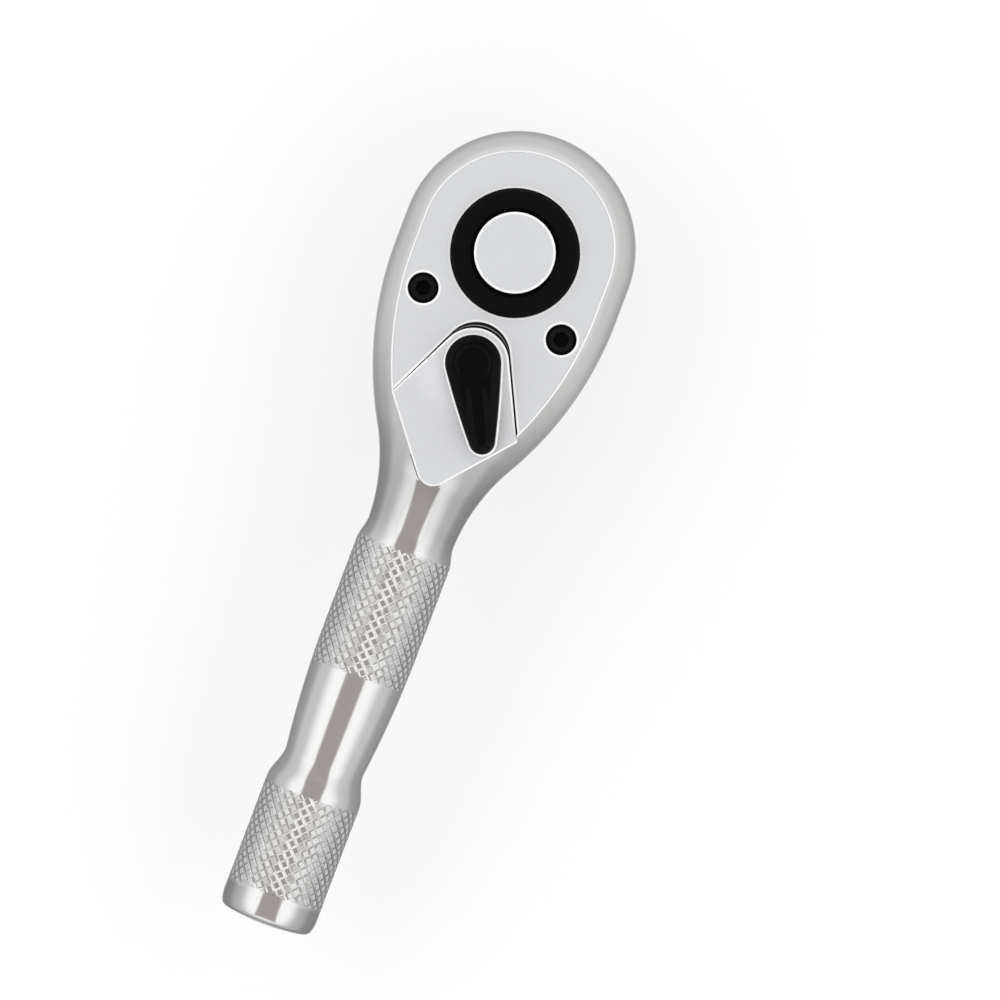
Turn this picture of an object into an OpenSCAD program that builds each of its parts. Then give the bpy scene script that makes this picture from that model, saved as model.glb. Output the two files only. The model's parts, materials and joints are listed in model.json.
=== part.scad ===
// Mini ratchet wrench with a square drive, a reversing lever and a push-button socket release.
// Millimetres. The drive turns about Z, the socket seats at z = 0, the handle points along -Y
// and the cover plate, the button and the lever face +Z.

/* [Drive square] */
// Square across its flats
drive_af = 6.35; // [6:0.05:6.8]
// Length of the square below the socket seat
drive_len = 7.5; // [7:0.1:9]
// Diameter over the rounded corners of the square
drive_corner_d = 8.5; // [8:0.1:9]
// Bevel at the tip of the square
drive_bevel = 0.6; // [0.3:0.1:1]
// Diameter of the ball that holds the socket
ball_d = 2.4; // [2:0.1:2.6]
// How far the ball stands out of its flat
ball_proud = 0.5; // [0.3:0.05:0.6]
// Depth of the ball below the socket seat
ball_drop = 3.6; // [3.2:0.1:4]

/* [Quick release] */
// Diameter of the button where it shows
button_d = 8.16; // [7.4:0.02:9]
// Height of the button above the ring
button_proud = 0.6; // [0.3:0.1:1.2]
// Bevel round the top of the button
button_bevel = 0.35; // [0.2:0.05:0.5]
// How far the button presses in
button_travel = 2; // [1.6:0.1:2.4]
// Width of the button's flange beyond its side
flange_w = 0.37; // [0.3:0.01:0.5]
// Thickness of the flange
flange_t = 1.2; // [0.8:0.1:1.6]
// Wire of the snap ring that keeps the button in
snap_wire = 0.5; // [0.4:0.05:0.6]
// Depth of the snap ring below the top of the ring
snap_depth = 0.65; // [0.5:0.05:0.9]
// Opening of the snap ring, in degrees
snap_opening = 30; // [20:1:60]
// Diameter of the release pin
pin_d = 2.6; // [2.4:0.1:3]
// Length of the pin's foot below its ramp
pin_foot = 0.6; // [0.4:0.1:0.8]
// Diameter of the pin's spigot in the button
pin_spigot_d = 1.6; // [1.2:0.1:2]
// Wire of the button's spring
spring_wire = 0.45; // [0.3:0.05:0.5]
// Mean diameter of the button's spring
spring_d = 4; // [3.6:0.1:4.4]
// Length of the button's spring at rest
spring_len = 5.8; // [5:0.1:6.5]
// Turns of the button's spring
spring_turns = 5; // [4:1:5]

/* [Ratchet gear] */
// Number of teeth
tooth_count = 72; // [60:12:84]
// Diameter over the teeth
gear_d = 15.2; // [14.6:0.1:15.6]
// Depth of a tooth
tooth_depth = 0.35; // [0.25:0.01:0.4]
// Diameter of the black ring, the gear's upper hub
ring_d = 12.9; // [12:0.1:13.6]
// Height of the ring above the cover plate
ring_proud = 0.6; // [0.3:0.1:1]
// Bevel round the top of the ring
ring_bevel = 0.25; // [0.15:0.05:0.4]
// Diameter of the lower journal
journal_d = 11; // [10.4:0.1:12]
// Height of the socket seat below the body
seat_drop = 0.3; // [0.2:0.1:0.6]
// Thickness of the thrust washer
washer_t = 0.5; // [0.3:0.05:0.8]
// Thickness of the drive's rubber ring
drive_o_ring_t = 0.9; // [0.7:0.05:1.1]

/* [Pawl] */
// Angle that the pawl rocks through
pawl_swing = 10; // [9:0.5:11]
// Half of the angle that the pawl covers round the gear
pawl_span = 38; // [35:1:40]
// Angle from the middle of the pawl to its first tooth
pawl_tooth_start = 20; // [18:1:24]
// Radius of the pawl's back
pawl_back_r = 6.8; // [6.4:0.1:7.2]
// Radius of the hollow that the ball presses into
pawl_hollow_r = 1.45; // [1.3:0.05:1.6]
// Diameter of the pin that the pawl rocks on
pawl_pin_d = 1.2; // [0.9:0.1:1.3]
// Depth of that pin in the floor of the head
pawl_pin_depth = 1.5; // [1:0.1:1.7]

/* [Lever and shaft] */
// Distance from the drive axis to the lever's axis
lever_offset = 11.8; // [11.5:0.05:12.2]
// Angle between the lever's two limits
lever_swing = 54; // [40:1:60]
// Distance from the lever's axis to the middle of its tip
lever_len = 7.9; // [6:0.1:9]
// Diameter of the lever's hub
lever_hub_d = 5.64; // [5:0.02:6.4]
// Diameter of the lever's tip
lever_tip_d = 2.66; // [2:0.02:3.4]
// Height of the lever's hub
lever_h = 2.4; // [2:0.1:3]
// Height of the lever's tip
lever_tip_h = 1.9; // [1.4:0.1:2.4]
// Height of the rib along the lever's arm
lever_rib_h = 0.5; // [0.2:0.05:0.8]
// Bevel round the top of the lever
lever_bevel = 0.4; // [0.2:0.05:0.5]
// Depth of the dish in the lever's hub
lever_dish = 0.25; // [0.1:0.05:0.4]
// Diameter of the shaft in the head
shaft_d = 4; // [3.6:0.1:4.4]
// Diameter of the shaft beside the pawl
shaft_low_d = 2.8; // [2.6:0.1:3]
// Diameter of the shaft's foot in the floor
shaft_foot_d = 2; // [1.6:0.1:2.2]
// Depth of the foot in the floor
shaft_foot_depth = 1.1; // [0.8:0.1:1.4]
// Square end of the shaft, in the lever
shaft_square = 2; // [1.6:0.1:2.2]
// Length of the shaft's square end
shaft_square_len = 1.6; // [1.2:0.1:1.8]
// Thickness of the shaft's rubber ring
shaft_o_ring_t = 0.9; // [0.7:0.05:1]
// Thickness of the clip on the shaft
clip_t = 0.4; // [0.3:0.05:0.5]
// Diameter of the clip
clip_d = 5.2; // [4.8:0.1:5.4]
// Depth of the clip's groove
clip_groove = 0.35; // [0.2:0.05:0.4]
// Opening of the clip, in degrees
clip_gap_angle = 100; // [60:5:120]
// Diameter of the ball against the pawl
sel_ball_d = 1.3; // [1.1:0.05:1.4]
// Reach of that ball from the lever's axis
sel_reach = 1.85; // [1.8:0.01:1.95]
// Wire of the spring behind that ball
sel_wire = 0.2; // [0.15:0.01:0.25]
// Turns of that spring
sel_turns = 3; // [2:1:4]

/* [Head] */
// Width of the head
head_d = 23.8; // [23:0.1:26]
// Distance from the drive axis to the middle of the head
head_shift = 0.7; // [0:0.05:1.5]
// Thickness of the head
head_t = 11; // [10.5:0.1:13]
// Radius of the rounded rim, seen from the side
rim_r = 8.2; // [7.5:0.1:9]
// Radius of the flanks between the head and the neck
flank_r = 35.7; // [34:0.1:40]
// Distance from the drive axis to the start of the flanks, along the handle
flank_s = 3; // [2:0.1:4]
// Thickness of the cover plate
plate_t = 1.5; // [1.2:0.1:1.8]
// Width of the land round the cover plate
plate_land = 0.15; // [0.1:0.01:0.3]
// Half angle of the notch and the island round the lever
notch_angle = 26; // [22:1:30]
// Radius of the island's nose, round the lever
island_r = 3.55; // [3.3:0.05:3.6]
// Gap between the sides of the island and the plate
notch_gap = 0.18; // [0.1:0.01:0.3]
// Gap between the nose of the island and the plate
nose_gap = 0.63; // [0.5:0.01:0.7]
// Thickness of the floor of the head
floor_t = 2.1; // [1.9:0.1:2.5]
// Thickness of the web under the island
web_t = 3.8; // [3.4:0.1:4]
// Distance of each cover screw from the widest part of the cover plate's edge
screw_edge = 2.23; // [2:0.01:2.5]
// Distance of the cover screws from the drive axis, along the handle
screw_s = 6.5; // [6.2:0.05:6.8]
// Thread diameter of a cover screw
screw_d = 2; // [1.6:0.1:2.2]
// Head diameter of a cover screw
screw_head_d = 3.06; // [2.8:0.02:3.4]
// Height of the straight edge of a cover screw's head
screw_land = 0.3; // [0.2:0.05:0.4]
// Length of a cover screw
screw_len = 5; // [4:0.1:6]
// Hexagon of a cover screw, across its flats
screw_hex = 1.3; // [1:0.05:1.5]
// Depth of that hexagon
screw_hex_depth = 0.9; // [0.7:0.05:1.2]

/* [Handle] */
// Length of the wrench
overall_len = 85; // [80:0.5:95]
// Diameter of the neck
neck_d = 9.14; // [8.6:0.02:9.6]
// Distance from the drive axis to the thinnest point of the neck
neck_s = 30.6; // [30:0.1:31]
// Diameter of the grips
grip_d = 10; // [9.7:0.05:10.8]
// Start of the upper grip
grip_s = 32.1; // [31.6:0.1:33]
// Start of the taper towards the waist
taper_s = 41.5; // [38:0.5:44]
// Diameter of the waist
waist_d = 8.36; // [7.6:0.02:9]
// Distance from the waist to the end of the handle
waist_to_end = 17.6; // [15:0.1:19]
// Length of the flare from the waist to the lower grip
flare_len = 3.4; // [2.5:0.1:5]
// Radius at the end of the handle
end_r = 2.6; // [1.5:0.1:3.5]

/* [Fits] */
// Radial clearance of a turning or sliding fit
run_fit = 0.05; // [0.02:0.01:0.08]
// Clearance of pieces that are pressed or laid in place
seat_fit = 0.02; // [0.01:0.01:0.03]
// End clearance of moving pieces
end_gap = 0.1; // [0.05:0.01:0.12]

/* [Hidden] */
$fn = 64;

// Overshoot of a cut past the face it opens through
cut = 1;
// Reach of a cutting plane, past the whole wrench
far = 200;
chrome = [0.8, 0.8, 0.82];
black = [0.07, 0.07, 0.08];
rubber = [0.12, 0.12, 0.12];
steel = [0.62, 0.63, 0.65];
bronze = [0.7, 0.5, 0.25];

// Heights in the head
head_r = head_d / 2;
body_z = seat_drop;
top_z = body_z + head_t;
mid_z = body_z + head_t / 2;
plate_z = top_z - plate_t;
floor_z = body_z + floor_t;
web_z = top_z - web_t;
ring_z = top_z + ring_proud;

// Flank arcs: each starts tangent to the head's sides and ends tangent to the neck's arc
flank_x = flank_r - head_r;
flank_y = -flank_s;
neck_r = neck_d / 2;
neck_rise = -neck_s - flank_y;
neck_arc_r = (pow(neck_r + flank_x, 2) + pow(neck_rise, 2) - pow(flank_r, 2))
    / (2 * (flank_r - neck_r - flank_x));
join_y = flank_y + neck_rise * flank_r / (flank_r + neck_arc_r);
// The neck starts this far inside the flanks, so that their edges do not cross
neck_seam = 0.05;
// Inset of the rim at the flat faces
rim_inset = rim_r - sqrt(pow(rim_r, 2) - pow(head_t / 2, 2));
screw_x = head_r - rim_inset - plate_land - screw_edge;

// Handle
end_s = overall_len - head_shift - head_r;
waist_s = end_s - waist_to_end;
grip_r = grip_d / 2;
waist_r = waist_d / 2;
arc_steps = 10;

// Gear and its pieces
gear_r = gear_d / 2;
ring_r = ring_d / 2;
journal_r = journal_d / 2;
// Room round the gear's teeth
gear_room = 0.2;
pocket_r = gear_r + gear_room;
gear_z = floor_z + end_gap;
washer_z = plate_z - end_gap / 2 - washer_t;
teeth_z = washer_z - end_gap / 2;
tooth_pitch = 360 / tooth_count;
// Shares of a tooth's pitch that its flat tip and its flat root take
tip_share = 0.2;
root_share = 0.2;

// Button and pin
button_r = button_d / 2;
button_bore_r = button_r + flange_w + run_fit;
snap_z = ring_z - snap_depth - snap_wire / 2;
flange_top = snap_z - snap_wire / 2 - run_fit;
flange_z = flange_top - flange_t;
button_top = ring_z + button_proud;
button_bore_z = flange_z - button_travel - 2 * end_gap;
spring_seat_z = flange_z - spring_len;
// Room round the button's spring
spring_room = 0.4;
spring_bore_r = (spring_d + spring_wire) / 2 + spring_room;
pin_r = pin_d / 2;
ball_r = ball_d / 2;
ball_x = drive_af / 2 + ball_proud - ball_r;
ball_z = -ball_drop;
// The ball goes in until it is just under its flat
ball_in = ball_proud + end_gap;
ramp = ball_in / button_travel;
ramp_r = ball_x - ball_r * sqrt(1 + ramp * ramp) - seat_fit;
ramp_foot_z = ball_z - (pin_r - ramp_r) / ramp;
ramp_top_z = ball_z + button_travel;
waist_top_z = ramp_top_z + ball_r + end_gap;
pin_bottom_z = ramp_foot_z - pin_foot;
pin_bore_z = pin_bottom_z - button_travel - 2 * end_gap;
spigot_len = flange_t;

// Pawl, in gear angles measured from the handle's side
pivot_s = (gear_r + lever_offset - sel_reach) / 2;
// Room between the pawl's free end and the gear, behind the pawl and round it in its pocket
pawl_clear = 0.12;
back_room = 0.15;
pawl_room = 0.25;
pawl_z = floor_z + end_gap;
clip_z = web_z - end_gap - clip_t;
pawl_top = clip_z - end_gap;
shaft_low_r = shaft_low_d / 2;
pawl_back_s = lever_offset - shaft_low_r - back_room;
hollow_s = lever_offset - (sel_reach + run_fit - pawl_hollow_r);
pawl_pin_r = pawl_pin_d / 2;
first_gap = (ceil(pawl_tooth_start / tooth_pitch) + 0.5) * tooth_pitch;
pawl_gaps = [for (a = first_gap; a < pawl_span - tip_share * tooth_pitch; a = a + tooth_pitch) a];

// Shaft
shaft_r = shaft_d / 2;
sel_z = (pawl_z + pawl_top) / 2;
sel_ball_r = sel_ball_d / 2;
sel_ball_s = sel_reach - sel_ball_r;
sel_hole_r = sel_ball_r + run_fit;
// Wall of the shaft behind the selector's spring
sel_wall = 0.35;
sel_seat_s = sel_wall - shaft_low_r;
lever_z = top_z + end_gap;
shaft_o_ring_z = (web_z + top_z) / 2;
shaft_ring_r = shaft_r + run_fit - seat_fit - shaft_o_ring_t / 2;
journal_ring_r = journal_r + run_fit - seat_fit - drive_o_ring_t / 2;
drive_o_ring_z = (body_z + floor_z) / 2;
// At rest the lever is at the limit on the +X side, and the ball presses on the -X side
lever_rest = lever_swing / 2;

// Points of an arc about a centre, from one angle to another
function arc(c, r, a0, a1, steps) = [
    for (i = [0:steps]) let (a = a0 + (a1 - a0) * i / steps) c + r * [cos(a), sin(a)]
];

// Mirrored copy of a run of points, in reverse order
function mirrored(p) = [for (i = [len(p) - 1:-1:0]) [-p[i][0], p[i][1]]];

// Outline of the head down to the neck, set in by a distance, from the right side round to the left
function head_outline(inset) = let (
    drop = asin((flank_y - join_y) / flank_r),
    right = arc([-flank_x, flank_y], flank_r - inset, -drop, 0, 2 * arc_steps)
) concat(right, arc([0, head_shift], head_r - inset, 0, 180, 4 * arc_steps), mirrored(right));

// Outline of a round-nosed wedge that opens towards the handle
function wedge(s, r, angle) = concat(
    [[far * sin(angle) + r * cos(angle), -s - far * cos(angle)]],
    arc([0, -s], r, angle, 180 - angle, 2 * arc_steps),
    [[-far * sin(angle) - r * cos(angle), -s - far * cos(angle)]]
);

// Teeth: points round the gear, tip first
function gear_outline(tip, root) = [
    for (i = [0:tooth_count - 1], k = [0:3])
        let (
            side = k < 2 ? tip_share / 2 : (1 - root_share) / 2,
            a = -90 + tooth_pitch * (i + (k == 0 ? -side : k == 1 ? side : k == 2 ? side : 1 - side)),
            r = k < 2 ? tip : root
        )
        r * [cos(a), sin(a)]
];

// Half profile of the handle: radius and distance from the drive axis
function handle_profile() = let (
    taper_r = (pow(waist_s - taper_s, 2) + pow(grip_r - waist_r, 2)) / (2 * (grip_r - waist_r)),
    taper_angle = asin((waist_s - taper_s) / taper_r),
    neck_s0 = -join_y,
    neck_turn = asin((neck_s - neck_s0) / neck_arc_r),
    neck_end = asin((grip_s - neck_s) / neck_arc_r),
    grip_step = grip_r - neck_r,
    neck = arc([neck_r + neck_arc_r, neck_s], neck_arc_r, 180 + neck_turn, 180 - neck_end, arc_steps)
) concat(
    [[0, neck_s0], neck[0] - [neck_seam, 0]],
    [for (i = [1:arc_steps]) neck[i]],
    [[grip_r, grip_s + grip_step]],
    arc([grip_r - taper_r, taper_s], taper_r, 0, taper_angle, arc_steps),
    [for (i = [1:arc_steps])
        [waist_r + (grip_r - waist_r) * (1 - cos(180 * i / arc_steps)) / 2,
            waist_s + flare_len * i / arc_steps]],
    arc([grip_r - end_r, end_s - end_r], end_r, 0, 90, arc_steps),
    [[0, end_s]]
);

// Points of a coil spring: rings of 6 points along a helix
coil_sides = 6;
coil_rings = 8;
function coil_points(d, wire, length, turns) = let (
    r = d / 2,
    rise = length - wire,
    lean = atan2(rise / turns, PI * d)
) [
    for (i = [0:turns * coil_rings], k = [0:coil_sides - 1])
        let (
            a = 360 * i / coil_rings,
            b = 360 * k / coil_sides,
            out = wire / 2 * cos(b),
            up = wire / 2 * sin(b)
        )
        [
            (r + out) * cos(a) + up * sin(lean) * sin(a),
            (r + out) * sin(a) - up * sin(lean) * cos(a),
            wire / 2 + rise * i / (turns * coil_rings) + up * cos(lean)
        ]
];

// A coil spring that stands on z = 0
module coil(d, wire, length, turns) {
    last = turns * coil_rings;
    faces = concat(
        [for (k = [1:coil_sides - 2]) [0, k, k + 1]],
        [for (i = [0:last - 1], k = [0:coil_sides - 1], half = [0, 1])
            let (
                here = i * coil_sides + k,
                next = i * coil_sides + (k + 1) % coil_sides
            )
            half == 0 ? [here, here + coil_sides, next] : [next, here + coil_sides, next + coil_sides]],
        [for (k = [1:coil_sides - 2]) [last * coil_sides, last * coil_sides + k + 1, last * coil_sides + k]]
    );
    polyhedron(coil_points(d, wire, length, turns), faces);
}

// What is cut off outside a rounded rim of radius r
module rim_waste(r) {
    difference() {
        translate([r - rim_r, -head_t]) square([rim_r + 2 * cut, 2 * head_t]);
        translate([r - rim_r, 0]) circle(rim_r);
    }
}

// Half profile of a disc with the rounded rim
module rim_profile(r) {
    difference() {
        translate([0, -head_t / 2]) square([r + cut, head_t]);
        rim_waste(r);
    }
}

// One flank of the head, from the middle line out and down to the neck
module flank() {
    intersection() {
        translate([-flank_x, flank_y, mid_z]) rotate(-90) rotate_extrude(angle = 90) rim_profile(flank_r);
        translate([0, join_y, 0]) cube([far, far, 2 * top_z]);
    }
}

// The head, its straight sides and its flanks, down to the neck
module head_form() {
    translate([0, head_shift, mid_z]) rotate_extrude(angle = 180) rim_profile(head_r);
    translate([0, head_shift, mid_z]) rotate([90, 0, 0]) linear_extrude(head_shift - flank_y) difference() {
        square([2 * (head_r + cut), head_t], center = true);
        rim_waste(head_r);
        mirror([1, 0]) rim_waste(head_r);
    }
    flank();
    mirror([1, 0, 0]) flank();
}

// The neck, grips and end, cut flat where they meet the head's faces
module handle_form() {
    intersection() {
        translate([0, 0, mid_z]) rotate([90, 0, 0]) rotate_extrude() polygon(handle_profile());
        translate([-far / 2, -far, body_z]) cube([far, far, head_t]);
    }
}

module at_lever() {
    translate([0, -lever_offset, 0]) children();
}

// Turns its children about the pawl's pin
module about_pivot(angle) {
    translate([0, -pivot_s, 0]) rotate(angle) translate([0, pivot_s, 0]) children();
}

// Outline of the pawl before its teeth and hollow are cut, grown for the pocket
module pawl_blank(grow) {
    reach = pawl_back_s + 2 * cut;
    side = pawl_span + asin(grow / gear_r);
    intersection() {
        translate([0, pawl_back_r - pawl_back_s]) circle(pawl_back_r + grow);
        polygon([[0, 0], [reach * tan(side), -reach], [-reach * tan(side), -reach]]);
    }
}

// One toothed end of the pawl, meshed with the gear
module pawl_teeth() {
    tip_r = gear_r - tooth_depth + run_fit;
    base_r = gear_r + 2 * pawl_clear;
    slack = run_fit / gear_r * 180 / PI;
    tip_half = tooth_pitch * root_share / 2 - slack / 2;
    base_half = tooth_pitch * (1 - tip_share) / 2 - slack;
    for (g = pawl_gaps)
        rotate(-g) polygon([
            -tip_r * [sin(tip_half), cos(tip_half)],
            -gear_r * [sin(base_half), cos(base_half)],
            -base_r * [sin(base_half), cos(base_half)],
            base_r * [sin(base_half), -cos(base_half)],
            gear_r * [sin(base_half), -cos(base_half)],
            tip_r * [sin(tip_half), -cos(tip_half)]
        ]);
}

module screw_places() {
    for (side = [-1, 1]) translate([side * screw_x, -screw_s, 0]) children();
}

module body() {
    color(chrome) difference() {
        union() {
            head_form();
            handle_form();
        }
        // Seat of the cover plate, round the island
        translate([0, 0, plate_z]) linear_extrude(plate_t + cut) difference() {
            polygon(head_outline(rim_inset + plate_land));
            polygon(wedge(lever_offset, island_r, notch_angle));
        }
        // Gear pocket and the journal's bore
        translate([0, 0, floor_z]) cylinder(r = pocket_r, h = plate_z - floor_z + cut);
        translate([0, 0, body_z - cut]) cylinder(r = journal_r + run_fit, h = floor_t + 2 * cut);
        // Pawl pocket under the island
        translate([0, 0, floor_z]) linear_extrude(web_z - floor_z) {
            for (side = [-1, 1]) about_pivot(side * pawl_swing / 2) pawl_blank(pawl_room);
        }
        at_lever() translate([0, 0, floor_z]) cylinder(d = clip_d + 2 * pawl_room, h = web_z - floor_z);
        // Bores of the shaft and the pawl's pin
        at_lever() translate([0, 0, web_z - cut]) cylinder(r = shaft_r + run_fit, h = web_t + 2 * cut);
        at_lever() translate([0, 0, floor_z - shaft_foot_depth - end_gap])
            cylinder(d = shaft_foot_d + 2 * run_fit, h = shaft_foot_depth + end_gap + cut);
        translate([0, -pivot_s, floor_z - pawl_pin_depth])
            cylinder(r = pawl_pin_r + seat_fit / 2, h = pawl_pin_depth + cut);
        screw_places() translate([0, 0, top_z - screw_len - end_gap])
            cylinder(d = screw_d + 2 * seat_fit, h = screw_len);
    }
}

module cover_plate() {
    color(chrome) difference() {
        translate([0, 0, plate_z]) linear_extrude(plate_t) difference() {
            polygon(head_outline(rim_inset + plate_land + run_fit));
            polygon(wedge(
                lever_offset - (nose_gap - notch_gap) / (1 - sin(notch_angle)),
                island_r + notch_gap - sin(notch_angle) * (nose_gap - notch_gap) / (1 - sin(notch_angle)),
                notch_angle
            ));
        }
        translate([0, 0, plate_z - cut]) cylinder(r = ring_r + run_fit, h = plate_t + 2 * cut);
        screw_places() translate([0, 0, plate_z - cut])
            cylinder(d = screw_d + 2 * seat_fit, h = plate_t + 2 * cut);
        screw_places() translate([0, 0, top_z]) screw_head(seat_fit, cut);
    }
}

// Countersunk head of a screw whose top is at z = 0, grown for its seat and carried up past the face
module screw_head(grow, rise) {
    head_r = screw_head_d / 2;
    sink = head_r - screw_d / 2;
    translate([0, 0, -screw_land]) cylinder(r = head_r + grow, h = screw_land + rise);
    translate([0, 0, -screw_land - sink])
        cylinder(r1 = screw_d / 2 + grow, r2 = head_r + grow, h = sink);
}

module cover_screws() {
    color(black) screw_places() translate([0, 0, top_z]) difference() {
        union() {
            screw_head(0, 0);
            translate([0, 0, -screw_len]) cylinder(d = screw_d, h = screw_len - screw_land);
        }
        translate([0, 0, -screw_hex_depth])
            cylinder(d = screw_hex / cos(30), h = screw_hex_depth + cut, $fn = 6);
    }
}

// The square with rounded corners and a bevelled tip
module drive_square() {
    corner_r = drive_corner_d / 2;
    intersection() {
        translate([-drive_af / 2, -drive_af / 2, -drive_len])
            cube([drive_af, drive_af, drive_len + gear_z]);
        rotate_extrude() polygon([
            [0, -drive_len],
            [corner_r - drive_bevel, -drive_len],
            [corner_r, -drive_len + drive_bevel],
            [corner_r, gear_z],
            [0, gear_z]
        ]);
    }
}

module drive_gear() {
    color(black) difference() {
        union() {
            drive_square();
            cylinder(r = journal_r, h = gear_z + cut);
            translate([0, 0, gear_z]) linear_extrude(teeth_z - gear_z)
                polygon(gear_outline(gear_r, gear_r - tooth_depth));
            translate([0, 0, gear_z + cut]) rotate_extrude() polygon([
                [0, 0],
                [ring_r, 0],
                [ring_r, ring_z - gear_z - cut - ring_bevel],
                [ring_r - ring_bevel, ring_z - gear_z - cut],
                [0, ring_z - gear_z - cut]
            ]);
        }
        translate([0, 0, pin_bore_z]) cylinder(r = pin_r + run_fit, h = ring_z - pin_bore_z + cut);
        translate([0, 0, spring_seat_z]) cylinder(r = spring_bore_r, h = ring_z - spring_seat_z + cut);
        translate([0, 0, button_bore_z]) cylinder(r = button_bore_r, h = ring_z - button_bore_z + cut);
        // Groove of the snap ring
        translate([0, 0, snap_z - snap_wire / 2 - seat_fit])
            cylinder(r = button_r + 2 * run_fit + snap_wire + seat_fit, h = snap_wire + 2 * seat_fit);
        // Hole of the ball, with a lip that keeps it in
        translate([0, 0, ball_z]) rotate([0, 90, 0]) cylinder(r = ball_r + run_fit, h = ball_x);
        translate([ball_x, 0, ball_z]) sphere(ball_r + seat_fit);
        // Groove of the rubber ring
        translate([0, 0, drive_o_ring_z]) ring_groove(journal_ring_r, drive_o_ring_t, journal_r);
    }
}

// Square groove for a rubber ring, open outwards past a shaft of radius r
module ring_groove(mean_r, t, r) {
    inner = mean_r - t / 2 - seat_fit;
    rotate_extrude() translate([inner, -t / 2 - seat_fit])
        square([r + cut / 2 - inner, t + 2 * seat_fit]);
}

module rubber_ring(mean_r, t) {
    color(rubber) rotate_extrude() translate([mean_r, 0]) circle(d = t);
}

module drive_o_ring() {
    translate([0, 0, drive_o_ring_z]) rubber_ring(journal_ring_r, drive_o_ring_t);
}

module thrust_washer() {
    color(bronze) translate([0, 0, washer_z]) difference() {
        cylinder(r = gear_r - tooth_depth, h = washer_t);
        translate([0, 0, -cut]) cylinder(r = ring_r + run_fit, h = washer_t + 2 * cut);
    }
}

module release_button() {
    color(chrome) difference() {
        rotate_extrude() polygon([
            [0, flange_z],
            [button_r + flange_w, flange_z],
            [button_r + flange_w, flange_top],
            [button_r, flange_top],
            [button_r, button_top - button_bevel],
            [button_r - button_bevel, button_top],
            [0, button_top]
        ]);
        translate([0, 0, flange_z - cut])
            cylinder(d = pin_spigot_d + 2 * seat_fit, h = spigot_len + seat_fit + cut);
    }
}

module release_pin() {
    waist = ramp_r - ramp * button_travel;
    color(steel) rotate_extrude() polygon([
        [0, pin_bottom_z],
        [pin_r, pin_bottom_z],
        [pin_r, ramp_foot_z],
        [waist, ramp_top_z],
        [waist, waist_top_z],
        [pin_r, waist_top_z + pin_r - waist],
        [pin_r, flange_z],
        [pin_spigot_d / 2, flange_z],
        [pin_spigot_d / 2, flange_z + spigot_len],
        [0, flange_z + spigot_len]
    ]);
}

module button_spring() {
    color(steel) translate([0, 0, spring_seat_z + seat_fit])
        coil(spring_d, spring_wire, spring_len - 2 * seat_fit, spring_turns);
}

module button_snap_ring() {
    color(steel) translate([0, 0, snap_z]) rotate(snap_opening / 2)
        rotate_extrude(angle = 360 - snap_opening)
        translate([button_r + 2 * run_fit + snap_wire / 2, 0]) circle(d = snap_wire);
}

module detent_ball() {
    color(steel) translate([ball_x, 0, ball_z]) sphere(ball_r);
}

module pawl() {
    color(steel) about_pivot(-pawl_swing / 2) translate([0, 0, pawl_z]) difference() {
        linear_extrude(pawl_top - pawl_z) {
            difference() {
                pawl_blank(0);
                for (side = [-1, 1]) about_pivot(side * pawl_swing / 2) circle(gear_r + pawl_clear);
                translate([0, -hollow_s]) circle(pawl_hollow_r);
            }
            about_pivot(pawl_swing / 2) pawl_teeth();
            mirror([1, 0, 0]) about_pivot(pawl_swing / 2) pawl_teeth();
        }
        translate([0, -pivot_s, -cut])
            cylinder(r = pawl_pin_r + run_fit, h = pawl_top - pawl_z + 2 * cut);
    }
}

module pawl_pin() {
    color(steel) translate([0, -pivot_s, floor_z - pawl_pin_depth])
        cylinder(r = pawl_pin_r, h = pawl_pin_depth + pawl_top - floor_z);
}

module reversing_lever() {
    hub_r = lever_hub_d / 2;
    tip_r = lever_tip_d / 2;
    hole = shaft_square + 2 * seat_fit;
    color(black) at_lever() rotate(lever_rest) translate([0, 0, lever_z]) difference() {
        union() {
            hull($fn = 32) {
                cylinder(r = hub_r, h = lever_h - lever_bevel);
                cylinder(r = hub_r - lever_bevel, h = lever_h);
                translate([0, -lever_len, 0]) cylinder(r = tip_r, h = lever_tip_h - lever_bevel);
                translate([0, -lever_len, 0]) cylinder(r = tip_r - lever_bevel, h = lever_tip_h);
            }
            hull($fn = 32) {
                translate([0, -hub_r, 0]) cylinder(r = tip_r / 2, h = lever_h + lever_rib_h / 2);
                translate([0, -lever_len, 0]) cylinder(r = tip_r / 2, h = lever_tip_h + lever_rib_h);
            }
        }
        translate([0, 0, lever_h - lever_dish]) cylinder(r = hub_r - 2 * lever_bevel, h = lever_rib_h + cut);
        translate([-hole / 2, -hole / 2, -cut]) cube([hole, hole, shaft_square_len - end_gap / 2 + cut]);
    }
}

module selector_shaft() {
    color(steel) at_lever() rotate(lever_rest) difference() {
        union() {
            translate([0, 0, floor_z - shaft_foot_depth])
                cylinder(d = shaft_foot_d, h = shaft_foot_depth + cut);
            translate([0, 0, floor_z + end_gap]) cylinder(r = shaft_low_r, h = web_z - floor_z + cut);
            translate([0, 0, web_z]) cylinder(r = shaft_r, h = web_t);
            translate([-shaft_square / 2, -shaft_square / 2, web_z])
                cube([shaft_square, shaft_square, web_t + shaft_square_len]);
        }
        translate([0, 0, shaft_o_ring_z]) ring_groove(shaft_ring_r, shaft_o_ring_t, shaft_r);
        translate([0, 0, clip_z - seat_fit]) difference() {
            cylinder(r = shaft_r, h = clip_t + 2 * seat_fit);
            translate([0, 0, -cut]) cylinder(r = shaft_low_r - clip_groove, h = clip_t + 2 * cut);
        }
        translate([0, sel_seat_s, sel_z]) rotate([-90, 0, 0])
            cylinder(r = sel_hole_r, h = 2 * shaft_low_r);
    }
}

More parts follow.
